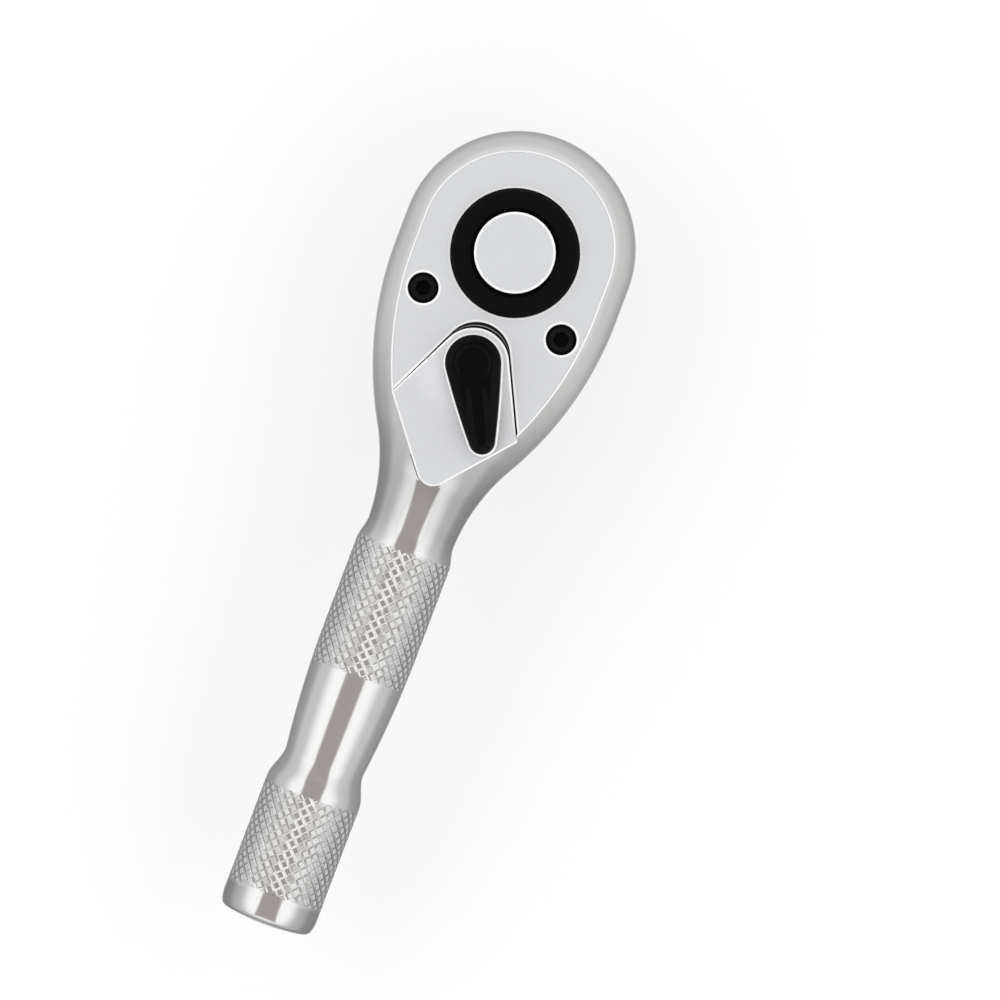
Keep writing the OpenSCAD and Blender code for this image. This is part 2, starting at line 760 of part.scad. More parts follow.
module selector_spring() {
    length = sel_ball_s - sel_ball_r - sel_seat_s;
    color(steel) at_lever() rotate(lever_rest) translate([0, sel_seat_s + seat_fit, sel_z])
        rotate([-90, 0, 0]) coil(2 * sel_hole_r - 2 * sel_wire, sel_wire, length, sel_turns);
}

module selector_ball() {
    color(steel) at_lever() rotate(lever_rest) translate([0, sel_ball_s, sel_z]) sphere(sel_ball_r);
}

module shaft_clip() {
    inner = shaft_low_r - clip_groove + seat_fit;
    color(steel) at_lever() translate([0, 0, clip_z]) rotate(lever_rest - 90 + clip_gap_angle / 2)
        rotate_extrude(angle = 360 - clip_gap_angle)
        translate([inner, 0]) square([clip_d / 2 - inner, clip_t]);
}

module shaft_o_ring() {
    at_lever() translate([0, 0, shaft_o_ring_z]) rubber_ring(shaft_ring_r, shaft_o_ring_t);
}

body();
cover_plate();
cover_screws();
drive_gear();
drive_o_ring();
thrust_washer();
release_button();
release_pin();
button_spring();
button_snap_ring();
detent_ball();
pawl();
pawl_pin();
reversing_lever();
selector_shaft();
selector_spring();
selector_ball();
shaft_clip();
shaft_o_ring();
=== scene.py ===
"""Mini ratchet wrench: shapes, finishes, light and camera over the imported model."""
import json
import math
import random

import bmesh
import bpy
from mathutils import Matrix, Vector


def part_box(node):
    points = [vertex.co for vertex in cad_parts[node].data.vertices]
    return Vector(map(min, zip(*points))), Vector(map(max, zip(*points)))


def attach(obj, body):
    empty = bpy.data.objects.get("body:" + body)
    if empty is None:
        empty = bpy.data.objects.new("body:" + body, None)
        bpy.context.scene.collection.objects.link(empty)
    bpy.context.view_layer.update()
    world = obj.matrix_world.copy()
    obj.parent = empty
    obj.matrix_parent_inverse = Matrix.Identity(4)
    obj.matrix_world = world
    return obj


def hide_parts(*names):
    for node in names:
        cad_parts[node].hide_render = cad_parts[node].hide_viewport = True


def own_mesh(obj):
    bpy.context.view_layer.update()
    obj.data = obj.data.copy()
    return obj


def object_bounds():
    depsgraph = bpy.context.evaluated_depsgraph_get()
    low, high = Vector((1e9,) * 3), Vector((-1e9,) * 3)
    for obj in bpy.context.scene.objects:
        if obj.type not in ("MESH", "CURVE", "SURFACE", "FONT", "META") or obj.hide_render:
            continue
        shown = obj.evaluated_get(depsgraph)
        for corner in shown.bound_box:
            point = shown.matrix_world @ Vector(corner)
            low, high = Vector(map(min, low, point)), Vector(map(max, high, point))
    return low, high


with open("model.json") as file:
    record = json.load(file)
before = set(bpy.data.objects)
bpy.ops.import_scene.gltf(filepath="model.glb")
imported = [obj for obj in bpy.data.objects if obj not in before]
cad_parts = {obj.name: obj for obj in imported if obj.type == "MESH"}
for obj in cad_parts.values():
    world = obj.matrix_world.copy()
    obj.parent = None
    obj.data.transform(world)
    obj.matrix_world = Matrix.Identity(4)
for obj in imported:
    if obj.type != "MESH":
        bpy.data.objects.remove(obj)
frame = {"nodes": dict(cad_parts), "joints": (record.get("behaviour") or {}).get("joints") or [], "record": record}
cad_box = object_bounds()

MM = 0.001
nodes = frame["nodes"]

# Sizes in millimetres, nearly all the same as in the part's source. The head first
body_low, body_high = (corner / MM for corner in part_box("body"))
HEAD_R = body_high.x
HEAD_SHIFT = body_high.y - HEAD_R
TOP = body_high.z
BOTTOM = body_low.z
MID = (TOP + BOTTOM) / 2
HALF_T = (TOP - BOTTOM) / 2
RIM_R = 8.2
FLANK_R = 35.7
FLANK_S = 3.0

# The neck, the grips and the waist between them, and the slow curve and tight edge of the handle's end
END_S = -body_low.y
NECK_R = 4.57
NECK_S = 30.6
SHOULDER_S = 30.0
GRIP_R = 5.0
GRIP_S = 32.4
TAPER_S = 41.5
WAIST_R = 4.18
WAIST_S = END_S - 17.6
FLARE = 3.4
END_LEAD = 1.2
END_EDGE_R = 0.7

# The island round the lever, the plate's notch, and its screws
LEVER_S = 11.8
ISLAND_R = 3.55
NOTCH_ANGLE = math.radians(26)
NOTCH_GAP = 0.18
NOSE_GAP = 0.63
LEFT_GAP = 0.04
SCREW_R = 1.53
SCREW_PLACES = [(7.4, -6.5), (-7.4, -6.5)]

# Hollows of the head. The pawl's room goes round the gear's pocket and these circles
SEAT = (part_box("cover_plate")[0] / MM).z
FLOOR = BOTTOM + 2.1
WEB = TOP - 3.8
GEAR_POCKET_R = 7.8
BORE_R = 5.55
RING_R = 6.45
SHAFT_R = 2.05
PAWL_ROOM = [((0, -9.3), 6.9), ((0, -LEVER_S), 2.9)]

# The polished bevel along the head's flat face, how far down and how far in, and how much wider the rim is at
# the nose
EDGE_DROP = 0.09
EDGE_IN = 0.18
NOSE_IN = 0.25

# The hair bevel of the plate's openings and of the button, the one along the plate's rim, and the band of
# painted highlight beside an opening
HAIR = 0.03
RIM_HAIR = 0.01
HIGHLIGHT_BAND = 0.2

# Knurled stretches of the handle, as start and end, and the step to the plain stretches beside them. Then the
# threads round the grip, the depth and share of a cell of each hand's grooves, the length over which they run
# out, and how unevenly the crests are worn
KNURLS = [(31.9, 45.4), (58.5, 69.0)]
KNURL_STEP = 0.04
STARTS = 28
GROOVES = [(0.11, 0.22), (0.07, 0.15)]
RUN_OUT = 0.4
WEAR = 0.035

# Distances from the handle's middle, in metres, between which the knurl's painted side shade and highlight change
SIDES = (1.8 * MM, 4.7 * MM)

# Distances from the lever's shaft, in metres, over which the light painted on the island's face fades to its plain
# tone
LEVER_LIGHT_REACH = (3.2 * MM, 7.0 * MM)

# Rows of faces up each section of the body
ROWS = 40

# Sine of a corner's turn, under which it counts as part of a curve
SOFT_TURN = 0.2


# Outlines

def arc(centre, r, a0, a1, steps):
    """Points of an arc, with angles in radians."""
    return [
        Vector((centre[0] + r * math.cos(a), centre[1] + r * math.sin(a)))
        for a in (a0 + (a1 - a0) * i / steps for i in range(steps + 1))
    ]


def circle(centre, r, steps=96):
    return arc(centre, r, 0, 2 * math.pi, steps)[:-1]


def mirrored(points):
    return [Vector((-p.x, p.y)) for p in reversed(points)]


def inset(loop, d):
    """A counter-clockwise loop, moved inwards by one distance or one for each side, with mitred corners."""
    out = []
    for i, p in enumerate(loop):
        before = (p - loop[i - 1]).normalized()
        after = (loop[(i + 1) % len(loop)] - p).normalized()
        n1, n2 = Vector((-before.y, before.x)), Vector((-after.y, after.x))
        d1, d2 = (d((i - 1) % len(loop)), d(i)) if callable(d) else (d, d)
        turn = n1.cross(n2)
        if abs(turn) < SOFT_TURN:
            out.append(p + (n1 + n2).normalized() * (d1 + d2) / 2)
        else:
            out.append(p + Vector((d1 * n2.y - d2 * n1.y, n1.x * d2 - n2.x * d1)) / turn)
    return out


def wedge(gap, nose_gap):
    """Nose of a wedge that lies outside the island by these gaps: its centre's distance and its radius."""
    back = (nose_gap - gap) / (1 - math.sin(NOTCH_ANGLE))
    return LEVER_S - back, ISLAND_R + gap - math.sin(NOTCH_ANGLE) * back


def nose(gap, nose_gap):
    """Points of that nose, from its right side to its left."""
    s, r = wedge(gap, nose_gap)
    return arc((0, -s), r, NOTCH_ANGLE, math.pi - NOTCH_ANGLE, steps=32)


def smooth(x, a, b):
    """A smooth step from 0 to 1, while x goes from a to b."""
    t = min(1, max(0, (x - a) / (b - a)))
    return t * t * (3 - 2 * t)


# The handle's half profile: arcs of the neck and of the taper, and where the neck's arc joins the flank's
FLANK_X = FLANK_R - HEAD_R
NECK_RUN = NECK_S - FLANK_S
NECK_ARC = ((NECK_R + FLANK_X) ** 2 + NECK_RUN ** 2 - FLANK_R ** 2) / (2 * (FLANK_R - NECK_R - FLANK_X))
JOIN_S = FLANK_S + NECK_RUN * FLANK_R / (FLANK_R + NECK_ARC)
TAPER_ARC = ((WAIST_S - TAPER_S) ** 2 + (GRIP_R - WAIST_R) ** 2) / (2 * (GRIP_R - WAIST_R))


def neck_r(s):
    return NECK_R + NECK_ARC - math.sqrt(NECK_ARC ** 2 - (s - NECK_S) ** 2)


def radius(s):
    """Radius of the handle at a distance from the drive's axis."""
    if s < SHOULDER_S:
        return neck_r(s)
    if s < GRIP_S:
        return neck_r(SHOULDER_S) + (GRIP_R - neck_r(SHOULDER_S)) * smooth(s, SHOULDER_S, GRIP_S)
    if s < TAPER_S:
        return GRIP_R
    if s < WAIST_S:
        return GRIP_R - TAPER_ARC + math.sqrt(TAPER_ARC ** 2 - (s - TAPER_S) ** 2)
    if s < WAIST_S + FLARE:
        return WAIST_R + (GRIP_R - WAIST_R) * (1 - math.cos(math.pi * (s - WAIST_S) / FLARE)) / 2
    return GRIP_R


def spread(a, b, steps):
    """Evenly spaced values from a to b."""
    return [a + (b - a) * i / steps for i in range(steps + 1)]


def end_profile():
    """Distances and radii at the handle's end: a slow curve, then a tight edge, then a low dome."""
    turn, flat, last = (math.radians(a) for a in (18, 78, 88))
    lead_r = END_LEAD / math.sin(turn)
    edge_at = GRIP_R - lead_r * (1 - math.cos(turn))
    dome_at = edge_at - END_EDGE_R * (math.cos(turn) - math.cos(flat))
    dome_r = dome_at / math.cos(flat)
    dome_s = END_S - dome_r * (1 - math.sin(flat))
    edge_s = dome_s - END_EDGE_R * (math.sin(flat) - math.sin(turn))
    lead_s = edge_s - END_LEAD
    lead = [(lead_s + lead_r * math.sin(a), GRIP_R - lead_r * (1 - math.cos(a))) for a in spread(0, turn, 8)]
    edge = [(edge_s + END_EDGE_R * (math.sin(a) - math.sin(turn)),
             edge_at - END_EDGE_R * (math.cos(turn) - math.cos(a))) for a in spread(turn, flat, 10)]
    dome = [(dome_s + dome_r * (math.sin(a) - math.sin(flat)), dome_r * math.cos(a))
            for a in spread(flat, last, 6)]
    return lead + edge[1:] + dome[1:]


# Mesh helpers

def ring(bm, points, z=None):
    """New vertices at points in millimetres, all at one height if it is given."""
    return [bm.verts.new(Vector((p[0], p[1], p[2] if z is None else z)) * MM) for p in points]


def band(bm, a, b, mat=0, closed=True):
    """Quads between two runs of as many vertices. A material can be given for each quad by its place."""
    for i in range(len(a) if closed else len(a) - 1):
        j = (i + 1) % len(a)
        corners = list(dict.fromkeys((a[i], a[j], b[j], b[i])))
        bm.faces.new(corners).material_index = mat(i) if callable(mat) else mat


def fill(bm, *loops, mat=0):
    """A flat face inside the first loop and outside the others."""
    edges = []
    for loop in loops:
        for i, v in enumerate(loop):
            pair = (v, loop[(i + 1) % len(loop)])
            edges.append(bm.edges.get(pair) or bm.edges.new(pair))
    made = bmesh.ops.triangle_fill(bm, edges=edges, use_beauty=True, use_dissolve=False)
    for face in made["geom"]:
        if isinstance(face, bmesh.types.BMFace):
            face.material_index = mat


def zip_loops(bm, a, b):
    """Triangles between two closed loops round the handle that differ in their number of vertices."""
    def sorted_loop(loop):
        return sorted((math.atan2(v.co.z - MID * MM, v.co.x), k, v) for k, v in enumerate(loop))
    a, b = sorted_loop(a), sorted_loop(b)
    i = j = 0
    while i < len(a) or j < len(b):
        va, vb = a[i % len(a)][2], b[j % len(b)][2]
        next_a = a[(i + 1) % len(a)][0] + (2 * math.pi if i + 1 >= len(a) else 0)
        next_b = b[(j + 1) % len(b)][0] + (2 * math.pi if j + 1 >= len(b) else 0)
        if j >= len(b) or (i < len(a) and next_a <= next_b):
            i += 1
            bm.faces.new((va, a[i % len(a)][2], vb))
        else:
            j += 1
            bm.faces.new((va, b[j % len(b)][2], vb))


def finished(name, bm, materials, body, slot, *replaced, sharp=14):
    """An object from a bmesh, riding on a body in place of CAD nodes. Edges above an angle, and those between
    two finishes, are sharp."""
    bmesh.ops.remove_doubles(bm, verts=bm.verts[:], dist=1e-7)
    bmesh.ops.recalc_face_normals(bm, faces=bm.faces[:])
    bm.edges.index_update()
    borders = [e.index for e in bm.edges if len({f.material_index for f in e.link_faces}) > 1]
    mesh = bpy.data.meshes.new(name)
    bm.to_mesh(mesh)
    bm.free()
    mesh.polygons.foreach_set("use_smooth", [True] * len(mesh.polygons))
    mesh.set_sharp_from_angle(angle=math.radians(sharp))
    for i in borders:
        mesh.edges[i].use_edge_sharp = True
    for m in materials:
        mesh.materials.append(m)
    obj = bpy.data.objects.new(name, mesh)
    bpy.context.scene.collection.objects.link(obj)
    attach(obj, body)
    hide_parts(*replaced)
    return obj


# Materials

def ramp(tree, source, a, b, low, high):
    """A smooth step from low to high, while the source goes from a to b."""
    node = tree.nodes.new("ShaderNodeMapRange")
    node.interpolation_type = "SMOOTHSTEP"
    for key, value in (("From Min", a), ("From Max", b), ("To Min", low), ("To Max", high)):
        node.inputs[key].default_value = value
    tree.links.new(source, node.inputs["Value"])
    return node.outputs["Result"]


def math_node(tree, operation, a, b=None):
    node = tree.nodes.new("ShaderNodeMath")
    node.operation = operation
    tree.links.new(a, node.inputs[0])
    if b is not None:
        tree.links.new(b, node.inputs[1])
    return node.outputs["Value"]


def parts_of(tree, vector):
    node = tree.nodes.new("ShaderNodeSeparateXYZ")
    tree.links.new(vector, node.inputs["Vector"])
    return node.outputs


def painted_shade_and_rim_light(tree, where, tone):
    """Painted shade and painted highlight on the chrome, by the way a surface faces. The tone is darker on the
    flanks of the handle, the neck and the end band than on their crown, underside and end face, and on the head
    it is lighter where the surface faces up or down, as along the upper and lower edge of the rim, and darker
    round the rim's middle."""
    facing = parts_of(tree, where.outputs["Normal"])
    upright = math_node(tree, "ABSOLUTE", facing["Z"])
    sideways = ramp(tree, math_node(tree, "ABSOLUTE", facing["Y"]), 0.85, 0.97, 1, 0)
    y = parts_of(tree, where.outputs["Object"])["Y"]
    handle = math_node(tree, "MULTIPLY", ramp(tree, y, -24 * MM, -8 * MM, 1, 0), sideways)
    neck = math_node(tree, "MULTIPLY", ramp(tree, y, -26 * MM, -18 * MM, 1, 0),
                     ramp(tree, y, -32 * MM, -29 * MM, 0, 1))
    end = math_node(tree, "MULTIPLY", ramp(tree, y, -69.5 * MM, -69 * MM, 1, 0), sideways)
    head = ramp(tree, y, -14 * MM, -5 * MM, 0, 1)

    # Each zone, the range of upright over which its tone changes, and the tone at both ends of that range
    zones = ((handle, 0.54, 0.76, 0.58, 1), (neck, 0.94, 0.985, 0.8, 1), (end, 0.7, 0.9, 0.75, 1),
             (head, 0.56, 0.7, 1, 1.22), (head, 0.05, 0.5, 0.8, 1))
    for zone, a, b, low, high in zones:
        mix = tree.nodes.new("ShaderNodeMix")
        tree.links.new(zone, mix.inputs["Factor"])
        mix.inputs["A"].default_value = 1.0
        tree.links.new(ramp(tree, upright, a, b, low, high), mix.inputs["B"])
        tone = math_node(tree, "MULTIPLY", tone, mix.outputs["Result"])
    return tone


def painted_side_tone(low):
    """Painted shade or highlight: a tone that changes by a factor from the handle's middle to its sides."""
    def toned(tree, where, tone):
        out = math_node(tree, "ABSOLUTE", parts_of(tree, where.outputs["Object"])["X"])
        return math_node(tree, "MULTIPLY", tone, ramp(tree, out, *SIDES, 1, low))
    return toned


def painted_light_round_lever(tree, where, tone):
    """Painted light: a tone that is brighter round the lever's shaft, lifting the shade the lever casts on the
    face.
    """
    reach = tree.nodes.new("ShaderNodeVectorMath")
    reach.operation = "DISTANCE"
    tree.links.new(where.outputs["Object"], reach.inputs[0])
    reach.inputs[1].default_value = (0, -LEVER_S * MM, TOP * MM)
    return math_node(tree, "MULTIPLY", tone, ramp(tree, reach.outputs["Value"], *LEVER_LIGHT_REACH, 1.2, 1.0))


def material(name, color, metallic, roughness, specular=0.5, edge=1.0, mottle=0.04, grain=(900, 900, 900),
             bump=0.0, toning=None):
    """A finish whose colour and roughness vary a little with a fine grain. It may have a slight relief, and a
    painted tone of light and shade that changes over the piece."""
    m = bpy.data.materials.new(name)
    m.use_nodes = True
    tree = m.node_tree
    shader = tree.nodes["Principled BSDF"]
    shader.inputs["Metallic"].default_value = metallic
    shader.inputs["Specular IOR Level"].default_value = specular
    shader.inputs["Specular Tint"].default_value = (edge, edge, edge, 1)
    where = tree.nodes.new("ShaderNodeTexCoord")
    scale = tree.nodes.new("ShaderNodeMapping")
    scale.inputs["Scale"].default_value = grain
    tree.links.new(where.outputs["Object"], scale.inputs["Vector"])
    noise = tree.nodes.new("ShaderNodeTexNoise")
    noise.inputs["Scale"].default_value = 1.0
    noise.inputs["Detail"].default_value = 4.0
    tree.links.new(scale.outputs["Vector"], noise.inputs["Vector"])
    tint = tree.nodes.new("ShaderNodeMapRange")
    tint.inputs["To Min"].default_value = 1 - mottle
    tint.inputs["To Max"].default_value = 1 + mottle
    tree.links.new(noise.outputs["Fac"], tint.inputs["Value"])
    shade = tree.nodes.new("ShaderNodeVectorMath")
    shade.operation = "SCALE"
    shade.inputs[0].default_value = color
    tone = tint.outputs["Result"]
    tree.links.new(toning(tree, where, tone) if toning else tone, shade.inputs["Scale"])
    tree.links.new(shade.outputs["Vector"], shader.inputs["Base Color"])
    rough = tree.nodes.new("ShaderNodeMapRange")
    rough.inputs["To Min"].default_value = roughness * 0.85
    rough.inputs["To Max"].default_value = roughness * 1.15
    tree.links.new(noise.outputs["Fac"], rough.inputs["Value"])
    tree.links.new(rough.outputs["Result"], shader.inputs["Roughness"])
    if bump:
        relief = tree.nodes.new("ShaderNodeBump")
        relief.inputs["Strength"].default_value = bump
        relief.inputs["Distance"].default_value = 0.02 * MM
        tree.links.new(noise.outputs["Fac"], relief.inputs["Height"])
        tree.links.new(relief.outputs["Normal"], shader.inputs["Normal"])
    return m


# The chrome's tone carries painted shade on the handle's flanks and a painted highlight along the head's rim
chrome = material("chrome", (0.58, 0.577, 0.575), 1, 0.13, edge=0.6, mottle=0.015, toning=painted_shade_and_rim_light)
# The knurl's crests get a painted highlight towards the handle's sides, and its grooves a painted shade
worn_crest_side_highlight = material("worn_crest_side_highlight", (0.51, 0.508, 0.507), 1, 0.26, edge=0.6, toning=painted_side_tone(1.12))
groove = material("knurl_groove", (0.58, 0.577, 0.575), 1, 0.2, edge=0.6, toning=painted_side_tone(0.46))
foot_shade = material("foot_shade", (0.14, 0.14, 0.14), 1, 0.5, mottle=0.05)
brushed = {"mottle": 0.02, "grain": (400, 9000, 9000), "bump": 0.05}
satin = material("satin_chrome", (0.775, 0.8, 0.83), 1, 0.54, **brushed)
# The island's satin face takes painted light round the lever's shaft
satin_lit_round_lever = material("satin_painted_light_round_lever", (0.775, 0.8, 0.83), 1, 0.54, toning=painted_light_round_lever, **brushed)
bright_edge = material("bright_edge", (0.67, 0.675, 0.68), 1, 0.22, mottle=0.01)
# A near-white finish for the painted highlight along openings, the notch, the button and the lever's foot
edge_highlight = material("painted_edge_highlight", (0.95, 0.96, 0.965), 0.4, 0.75, mottle=0.01)
# Nearly black, as painted shade in the gaps and hollows where it is used
recess = material("recess_painted_shade", (0.02, 0.02, 0.021), 0.6, 0.45, specular=0.2, mottle=0.2)
black_steel = material("black_steel", (0.003, 0.003, 0.0031), 0, 0.5, specular=0.058, mottle=0.2, bump=0.1)
black_coat = material("black_coat", (0.0015, 0.0015, 0.0016), 0, 0.3, specular=0.07, mottle=0.2, bump=0.1)
black_oxide = material("black_oxide", (0.005, 0.005, 0.0052), 0, 0.4, specular=0.11, mottle=0.2, bump=0.1)
steel = material("ground_steel", (0.55, 0.55, 0.56), 1, 0.25, mottle=0.05)
bronze = material("plain_bronze", (0.5, 0.32, 0.14), 1, 0.35, mottle=0.1)
rubber = material("black_rubber", (0.02, 0.02, 0.02), 0, 0.6, specular=0.3, mottle=0.15, bump=0.2)

SLOT_FINISH = {
    "chrome_body": chrome, "satin_plate": satin, "black_steel": black_steel, "black_lever": black_coat,
    "bright_steel": steel, "bronze": bronze, "rubber": rubber,
}
for part in frame["record"]["subparts"]:
    node = nodes[part["node"]]
    node.data.materials.clear()
    node.data.materials.append(SLOT_FINISH[part["material_slot"]])
nodes["button_snap_ring"].data.materials[0] = black_steel


# Body

# Height of the flat face's bevel over the head's middle, and how far in from the widest outline its lower and
# its upper edge lie
EDGE_Z = HALF_T - EDGE_DROP
RIM_IN = RIM_R - math.sqrt(RIM_R ** 2 - EDGE_Z ** 2)
FACE_IN = RIM_IN + EDGE_IN


def wedge_crossing(s, r):
    """Angle on a flank's arc at which the flat face's edge meets the side of a wedge round the island."""
    n = Vector((math.cos(NOTCH_ANGLE), math.sin(NOTCH_ANGLE)))
    reach = r + n.dot(Vector((FLANK_X, FLANK_S - s)))
    return NOTCH_ANGLE - math.acos(reach / (FLANK_R - FACE_IN))


# Angles along a flank: its end, the island's corner and the end of its bevel, and the plate's two corners
FLANK_END = -math.asin((JOIN_S - FLANK_S) / FLANK_R)
ISLAND_CORNER = wedge_crossing(*wedge(0, 0))
ISLAND_BEVEL_END = wedge_crossing(*wedge(-EDGE_IN, -EDGE_IN))
PLATE_CORNER = wedge_crossing(*wedge(NOTCH_GAP, NOSE_GAP))
LEFT_CORNER = wedge_crossing(*wedge(LEFT_GAP, LEFT_GAP))

# Steps round the nose, along the flank to the plate's corner, from there to the island's, and on towards the
# neck, where the last one is at a share of the flank
NOSE_STEPS, PLATE_STEPS, CORNER_STEPS, ISLAND_STEPS = 48, 22, 2, 8
FLANK_SHARE = 0.97

# The island's round tip, how far its right corner reaches past the plate's, and the shaded line along the
# foot of its left edge: width and start
TIP_R = 1.5
CORNER_REACH = 0.45
FOOT_W = 0.14
FOOT_S = 22.3

# Place of the island's corner among the sections, and the places of the body's finishes
CORNER = NOSE_STEPS + 1 + PLATE_STEPS + CORNER_STEPS
BODY_FINISHES = [chrome, bright_edge, recess, satin_lit_round_lever, worn_crest_side_highlight, groove, foot_shade]
CHROME, BEVEL, HOLLOW, LEVER_LIT, CREST, GROOVE, FOOT = range(len(BODY_FINISHES))


def nose_in(a):
    """How much further in the flat face starts, at an angle round the head."""
    return NOSE_IN * max(0, math.sin(a)) ** 2


def head_stations():
    """Sections round the right half of the head, from nose to neck: rows up the rim, and both flat edges."""
    lean = math.asin(EDGE_Z / RIM_R)
    heights = [RIM_R * math.sin(t) for t in spread(-lean, lean, ROWS)]
    rim = [(RIM_R - math.sqrt(RIM_R ** 2 - z ** 2), z) for z in heights]
    turns = [((0, HEAD_SHIFT), HEAD_R, a) for a in spread(math.pi / 2, 0, NOSE_STEPS)]
    flank = spread(0, PLATE_CORNER, PLATE_STEPS) + spread(PLATE_CORNER, ISLAND_CORNER, CORNER_STEPS)[1:]
    flank += spread(ISLAND_BEVEL_END, FLANK_END * FLANK_SHARE, ISLAND_STEPS)
    turns += [((-FLANK_X, -FLANK_S), FLANK_R, a) for a in flank]
    out = []
    for (x, y), r, a in turns:
        def at(d, z):
            d += nose_in(a) * max(0, z / HALF_T) ** 2
            return Vector((x + (r - d) * math.cos(a), y + (r - d) * math.sin(a), MID + z))
        rows = [at(d, z) for d, z in rim]
        out.append({"rows": rows, "top": at(FACE_IN, HALF_T), "low": at(FACE_IN, -HALF_T)})
    return out


def handle_station(s, r=None):
    """Section of the right half of the handle. Where it is thicker than the head it is cut flat."""
    r = r or radius(s)
    half = math.pi / 2 if r <= EDGE_Z else math.asin(EDGE_Z / r)
    rows = [Vector((r * math.cos(t), -s, MID + r * math.sin(t))) for t in spread(-half, half, ROWS)]
    if r <= EDGE_Z:
        rows[0].x = rows[-1].x = 0
    return {"rows": rows}


def neck_tip(r):
    """Distance at which the neck has a radius."""
    return NECK_S - math.sqrt(NECK_ARC ** 2 - (NECK_R + NECK_ARC - r) ** 2)


def neck_stations():
    """From the flanks to the tip of the flat face, with the flat's edge moved in by its bevel."""
    tip, lead, steps = neck_tip(EDGE_Z), 0.5, 16
    along = [tip - (tip - JOIN_S - lead) * (1 - i / steps) ** 2 for i in range(steps + 1)]
    out = [handle_station(s) for s in along]
    edge = [Vector((station["rows"][-1].x, station["rows"][-1].y)) for station in out]
    for i, station in enumerate(out):
        a = edge[max(0, i - 1)]
        b = edge[i + 1] if i + 1 < len(edge) else Vector((-a.x, a.y))
        along_edge = (b - a).normalized()
        p = edge[i] + Vector((along_edge.y, -along_edge.x)) * EDGE_IN
        if i == len(edge) - 1:
            p.x = 0
        station["top"] = Vector((p.x, p.y, TOP))
        station["low"] = Vector((p.x, p.y, BOTTOM))
    return out


def straighten(stations, reach):
    """Moves the upper edge of one side of the island, past its corner at the plate, on to a straight line
    that ends in a round tip. The corner moves out along the gap by a reach."""
    out = Vector((math.sin(NOTCH_ANGLE), -math.cos(NOTCH_ANGLE))) * reach
    path = [Vector(s["top"].xy) for s in stations[1:]]
    start, tip = path[0] + out, path[-1]
    centre = tip + Vector((0, TIP_R))
    away = start - centre
    turn = math.atan2(away.y, away.x) - math.acos(TIP_R / away.length)
    wanted = [start] + arc(centre, TIP_R, turn, -math.pi / 2, 24)

    def lengths(points):
        out = [0.0]
        for p, q in zip(points, points[1:]):
            out.append(out[-1] + (q - p).length)
        return out
    have, want = lengths(path), lengths(wanted)
    moves = [out]
    for p, d in zip(path, have):
        d *= want[-1] / have[-1]
        i = max(k for k in range(len(want) - 1) if want[k] <= d + 1e-9)
        moves.append(wanted[i].lerp(wanted[i + 1], min(1, (d - want[i]) / (want[i + 1] - want[i]))) - p)
    for station, move in zip(stations, (m.to_3d() for m in moves)):
        station["top"] += move
        for row in station["rows"]:
            row += move * max(0, (row.z - MID) / EDGE_Z) ** 3


def knurl(s0, s1):
    """Crossed grooves round the handle as a bmesh, cut square at both ends."""
    bm = bmesh.new()
    pitch = 2 * math.pi * GRIP_R / STARTS

    # Each hand has three lines to a cell: the bottom of its groove and the groove's two edges
    hands = [[(0, depth), (share, 0), (1 - share, 0)] for depth, share in GROOVES]
    around = 3 * STARTS
    margin = 6
    made = {}
    uneven = random.Random(4)

    def vertex(a, b):
        """Vertex on the a-th line of one hand and the b-th of the other."""
        turn, a = divmod(a, around)
        key = (a, b + turn * around)
        if key not in made:
            (fu, gu), (fv, gv) = (hand[k % 3] for hand, k in zip(hands, key))
            u, v = key[0] // 3 + fu, key[1] // 3 + fv
            s = pitch * (u + v) / 2
            t = math.pi * (u - v) / STARTS
            fade = smooth(s - s0, 0, RUN_OUT) * smooth(s1 - s, 0, RUN_OUT)
            r = radius(min(max(s, s0), s1)) - (max(gu, gv) or uneven.uniform(0, WEAR)) * fade
            made[key] = bm.verts.new(Vector((r * math.cos(t), -s, MID + r * math.sin(t))) * MM)
        return made[key]

    for a in range(around):
        first = int(3 * (2 * s0 / pitch - a / 3)) - margin
        last = int(3 * (2 * s1 / pitch - a / 3)) + margin
        for b in range(first, last):
            face = bm.faces.new((vertex(a, b), vertex(a + 1, b), vertex(a + 1, b + 1), vertex(a, b + 1)))
            face.material_index = CREST if a % 3 == 1 and b % 3 == 1 else GROOVE
    for s, side in ((s0, 1), (s1, -1)):
        bmesh.ops.bisect_plane(bm, geom=bm.verts[:] + bm.edges[:] + bm.faces[:], dist=1e-8,
                               plane_co=(0, -s * MM, 0), plane_no=(0, side, 0), clear_outer=True)
    return bm


def add_copy(bm, other):
    """Adds another bmesh to bm and gives its open edge loops at its two ends, as vertices."""
    copies = {v: bm.verts.new(v.co) for v in other.verts}
    for f in other.faces:
        bm.faces.new([copies[v] for v in f.verts]).material_index = f.material_index
    rim = [copies[v] for v in other.verts if v.is_boundary]
    middle = sum(v.co.y for v in rim) / len(rim)
    other.free()
    return [v for v in rim if v.co.y > middle], [v for v in rim if v.co.y <= middle]


def full_ring(bm, station):
    """Vertices all round a section of the handle."""
    right = station["rows"]
    left = [Vector((-p.x, p.y, p.z)) for p in reversed(right[1:-1])]
    return ring(bm, right + left)


def handle_part(bm, stations):
    """Closed rings along the handle. Gives the first and the last of them."""
    rings = [full_ring(bm, s) for s in stations]
    for a, b in zip(rings, rings[1:]):
        band(bm, a, b)
    return rings[0], rings[-1]


